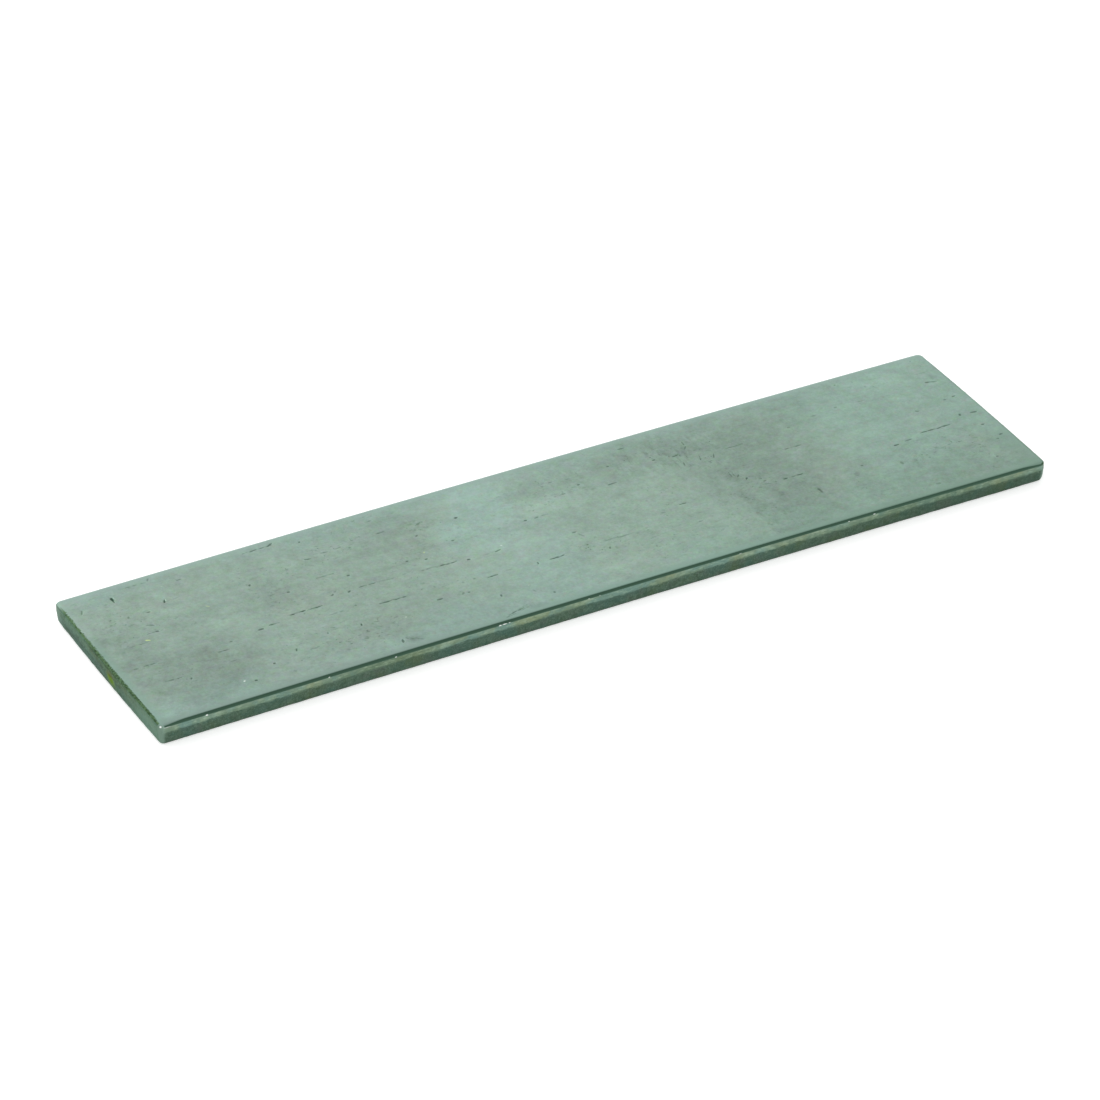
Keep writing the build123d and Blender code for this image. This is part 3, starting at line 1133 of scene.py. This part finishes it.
def end_colour(nodes, side):
    """The ends, which are torn and mottled over their whole height."""
    drawn = nodes.grain(side.place, (1, 0.2, 1), 900.0, 3.0)
    colour = nodes.blend(nodes.ramp(side.mottle, 0.3, 0.7), END_DEEP, END_PALE)
    colour = nodes.coats(
        nodes.blend(0.5, colour, END_GREY),
        (side.tint, 0.48, 0.66, 0.6, END_BLUE),
        (side.tint, 0.5, 0.34, 0.4, TORN_OLIVE),
        (nodes.noise(side.place, 1500, 3, shift=(2.0, 9.0, 4.0)), 0.54, 0.72, 0.5, END_LEAF),
    )
    high = nodes.ramp(nodes.raised(drawn, -1.6, side.zone), 1.6, 0.6)
    high_back = nodes.times(high, nodes.ramp(side.across, 0.2, 0.5))
    low = nodes.times(nodes.ramp(side.zone, 1.5, 2.2), nodes.ramp(side.across, -0.45, -0.25))
    from_centre = nodes.maths("ABSOLUTE", nodes.plus(side.across, 0.06))
    colour = nodes.blend(nodes.times(high, 0.55), colour, END_OLIVE)
    colour = nodes.blend(nodes.times(high_back, 0.6), colour, END_PALE)
    colour = nodes.blend(nodes.times(low, 0.55), colour, END_BLUE)
    colour = nodes.coats(colour, (from_centre, 0.32, 0.12, 0.5, END_MIDDLE))
    for spot in END_SHADES:
        shade = end_spot(nodes, side.place, spot, DULL_DEPTH)
        colour = nodes.blend(nodes.times(shade, spot.strength), colour, END_SHADE)
    return nodes.coats(
        colour,
        (drawn, 0.5, 0.3, 0.75, END_DEEP),
        (drawn, 0.52, 0.7, 0.5, END_PALE),
        (side.upright, 0.52, 0.3, 0.5, END_DEEP),
        (side.fine, 0.5, 0.7, 0.85, END_PALE),
        (side.fine, 0.5, 0.3, 0.4, END_DEEP),
        (side.across, -0.25, -0.8, 0.5, END_FRONT),
        # painted sheen towards the back corner round
        (side.across, 0.82, 0.96, 0.7, CORNER_SHEEN),
    )


def stain_mask(nodes, side):
    """The stain on the left end, with a ragged border."""
    push = {"Y": nodes.sway(side.mottle, STAIN_PUSH_ACROSS), "Z": nodes.sway(side.fine, STAIN_PUSH_UP)}
    push = nodes.add("ShaderNodeCombineXYZ", push).outputs[0]
    return end_spot(nodes, nodes.vector("ADD", side.place, push), END_STAIN, STAIN_DEPTH)


def stain_colour(nodes, side):
    """Yellow-green, and brown at the top."""
    height = nodes.sway(side.fine, STAIN_TOP_PUSH, side.z)
    return nodes.blend(nodes.ramp(height, STAIN_TOP_FROM, STAIN_TOP_TO), STAIN_YELLOW, STAIN_BROWN)


def below_crest_colour(nodes, side, stained):
    """The side from the crest down."""
    colour = nodes.blend(side.torn, burnish_colour(nodes, side), torn_colour(nodes, side))
    colour = nodes.blend(side.at_end, colour, end_colour(nodes, side))
    colour = nodes.coats(colour, (side.zone, 2.7, 3.6, 0.3, TORN_DEEP))
    colour = nodes.blend(stained, colour, stain_colour(nodes, side))
    # Painted sheen on the rounded corners
    return nodes.blend(nodes.times(side.corner, 0.75), colour, CORNER_SHEEN)


def arris_reflection_mask(nodes, side):
    """Where a dark reflection is painted on the rolled arris: its lower part, fading at the corners."""
    along, across = side.along, side.across
    uneven = nodes.sway(side.mottle, 0.8, nodes.sway(side.fine, 1.2))
    uneven = nodes.plus(nodes.raised(across, -0.16, uneven), 0.16)
    taper = nodes.plus(nodes.ramp(along, 0.94, 0.99, 0, 0.28), nodes.ramp(along, -0.94, -0.998, 0, 0.36))
    taper = nodes.times(taper, nodes.ramp(across, -0.82, -0.98))
    start = nodes.maths("SUBTRACT", nodes.times(uneven, side.at_end), taper)
    start = nodes.plus(start, nodes.ramp(along, -0.6, 0.85, 0.03, -0.12))
    mask = nodes.ramp(nodes.plus(side.zone, start), 0.18, 0.48)
    right_end = nodes.times(nodes.ramp(along, 0.987, 0.991), nodes.ramp(across, -0.99, -0.97))
    left_corner = nodes.times(nodes.ramp(side.corner, 0.1, 0.9), nodes.ramp(along, 0.5, 0.4))
    mask = nodes.times(mask, nodes.ramp(right_end, 0, 1, 1, 0.25))
    mask = nodes.times(mask, nodes.ramp(left_corner, 0, 1, 1, 0.15))
    return nodes.times(mask, nodes.ramp(across, 0.8, 0.93, 1, 0.1))


def glint_mask(nodes, place):
    """Painted highlights: glints on the front crest and at the front left corner."""
    glints = 0.0
    for spot in CREST_GLINTS:
        y = EDGE_CAMBER * (0.5 - (spot.along * MM / HALF_LENGTH) ** 2) - HALF_WIDTH
        glints = nodes.raised(front_spot(nodes, place, spot, y, GLINT_DEPTH), spot.strength, glints)
    return nodes.larger(glints, nodes.patch(place, CORNER_GLINT, (CORNER_GLINT_REACH,) * 3))


def side_material():
    """The sheared side: rolled arris, burnished band, torn band and worn foot."""
    material, nodes = new_material("sheared_side")
    side = Side(nodes)
    stained = stain_mask(nodes, side)
    glints = glint_mask(nodes, side.place)

    # The rolled arris goes on from the face, and ends in a painted dark reflection above the crest
    where = {"Along": side.along, "Across": side.across}
    colour = nodes.group("mill finish", Place=side.place, **where)["Colour"]
    dashes = nodes.raised(side.across, 0.05, side.mottle)
    end_rim_dark_reflection = nodes.blend(nodes.ramp(dashes, 0.38, 0.56), END_RIM_DEEP_REFLECTION, END_RIM_REFLECTION)
    arris_dark_reflection = nodes.blend(side.at_end, ROLL_DARK_REFLECTION, end_rim_dark_reflection)
    colour = nodes.blend(arris_reflection_mask(nodes, side), colour, arris_dark_reflection)

    left_end = nodes.times(side.at_end, nodes.ramp(side.along, 0.5, -0.5))
    crest = nodes.raised(left_end, 0.35, side.zone)
    crest = nodes.maths("SUBTRACT", crest, nodes.ramp(side.along, 0.45, 0.8, 0, 0.08))
    below_crest = below_crest_colour(nodes, side, stained)
    colour = nodes.blend(nodes.ramp(crest, 1.0, 1.15), colour, below_crest)
    # Painted highlights on the crest and at the corner
    colour = nodes.blend(glints, colour, GLINT)

    roughness = nodes.ramp(nodes.larger(side.torn, side.at_end), 0, 1, 0.36, 0.68)
    roughness = nodes.larger(roughness, stained)
    metallic = nodes.ramp(nodes.larger(glints, stained), 0, 1, 0.8, 0.0)
    height = nodes.plus(nodes.blend(side.torn, side.level, side.upright), side.mottle)
    looks = {"Base Color": colour, "Metallic": metallic, "Roughness": roughness}
    add_steel(nodes, height, 0.35, 0.08 * MM, looks)
    return material


# ------------------------------------------------------------------- floor, light and camera

FLOOR_HALF = 4.0
FLOOR_DROP = 0.02 * MM  # keeps the floor clear of the base
FLOOR_CLOTH = (0.8, 0.8, 0.8, 1)
FLOOR_GLOW = 0.45  # lifts the lit floor to white where it is seen
ROOM_LIGHT, OVERHEAD_LIGHT = 1.0, 0.72


def make_floor():
    """A plain white floor that shows as white, with the bar's soft shadow on it."""
    bm = bmesh.new()
    bmesh.ops.create_grid(bm, x_segments=1, y_segments=1, size=FLOOR_HALF)
    mesh = bpy.data.meshes.new("floor")
    bm.to_mesh(mesh)
    bm.free()
    floor = bpy.data.objects.new("floor", mesh)
    floor.location.z = -FLOOR_DROP
    bpy.context.scene.collection.objects.link(floor)

    material, nodes = new_material("floor_white")
    ray = nodes.add("ShaderNodeLightPath").outputs
    seen = nodes.larger(ray["Is Camera Ray"], ray["Is Glossy Ray"])
    seen = nodes.larger(seen, ray["Is Transmission Ray"])
    cloth = nodes.add("ShaderNodeBsdfDiffuse", {"Color": FLOOR_CLOTH}).outputs[0]
    glow = nodes.add("ShaderNodeEmission", {"Color": (1, 1, 1, 1), "Strength": FLOOR_GLOW}).outputs[0]
    lit = nodes.add("ShaderNodeAddShader", {0: cloth, 1: glow}).outputs[0]
    shown = nodes.add("ShaderNodeMixShader", {0: seen, 1: cloth, 2: lit}).outputs[0]
    nodes.add("ShaderNodeOutputMaterial", {"Surface": shown})
    mesh.materials.append(material)


def make_world():
    """A plain pale room, a little darker overhead."""
    world = bpy.data.worlds.new("studio")
    world.use_nodes = True
    nodes = Nodes(world.node_tree)
    up = nodes.split(nodes.add("ShaderNodeTexCoord").outputs["Generated"])["Z"]
    colour = nodes.grey(nodes.ramp(up, 0.35, 0.9, ROOM_LIGHT, OVERHEAD_LIGHT))
    room = nodes.add("ShaderNodeBackground", {"Color": colour, "Strength": 1.0})
    nodes.add("ShaderNodeOutputWorld", {"Surface": room.outputs[0]})
    bpy.context.scene.world = world


def make_lamp(name, place, size, power):
    """A square soft box that faces the bar."""
    data = bpy.data.lights.new(name, "AREA")
    data.size = size
    data.energy = power
    lamp = bpy.data.objects.new(name, data)
    lamp.location = place
    lamp.rotation_euler = (-Vector(place)).to_track_quat("-Z", "Y").to_euler()
    bpy.context.scene.collection.objects.link(lamp)


# The camera looks down on the bar from its front left
CAMERA_AZIMUTH = math.radians(-27.71)
CAMERA_ELEVATION = math.radians(32.74)
CAMERA_ROLL = math.radians(-0.56)
CAMERA_DISTANCE = 1145.9 * MM
CAMERA_LENS = 183.2
AIM_RIGHT = -1.89 * MM  # the point aimed at, from the middle of the bar's base
AIM_UP = -0.01 * MM


def make_camera():
    """A camera aimed at the bar, level but for its small roll."""
    azimuth, elevation, roll = CAMERA_AZIMUTH, CAMERA_ELEVATION, CAMERA_ROLL
    back = Vector((
        math.sin(azimuth) * math.cos(elevation),
        -math.cos(azimuth) * math.cos(elevation),
        math.sin(elevation),
    ))
    level_right = Vector((math.cos(azimuth), math.sin(azimuth), 0))
    level_up = back.cross(level_right)
    right = math.cos(roll) * level_right + math.sin(roll) * level_up
    up = back.cross(right)
    aim = level_right * AIM_RIGHT + level_up * AIM_UP - Vector((0, EDGE_CAMBER / 2, 0))
    place = aim + back * CAMERA_DISTANCE
    data = bpy.data.cameras.new("camera")
    data.lens = CAMERA_LENS
    data.sensor_width = 36.0
    data.clip_end = 50.0
    camera = bpy.data.objects.new("camera", data)
    camera.matrix_world = Matrix.Translation(place) @ Matrix((right, up, back)).transposed().to_4x4()
    bpy.context.scene.collection.objects.link(camera)
    bpy.context.scene.camera = camera


def main():
    skin = make_skin()
    make_stain_group()
    make_grain_group()
    make_mill_group()
    skin.data.materials.append(face_material())
    skin.data.materials.append(side_material())
    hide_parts("flat_bar")
    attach(skin, "root")

    make_floor()
    make_world()
    make_lamp("key", (-0.5, 0.9, 1.1), 0.9, 6.0)
    make_lamp("fill", (-0.6, -1.0, 0.8), 0.9, 3.0)
    make_camera()
    bpy.context.scene.view_settings.view_transform = "Standard"


main()
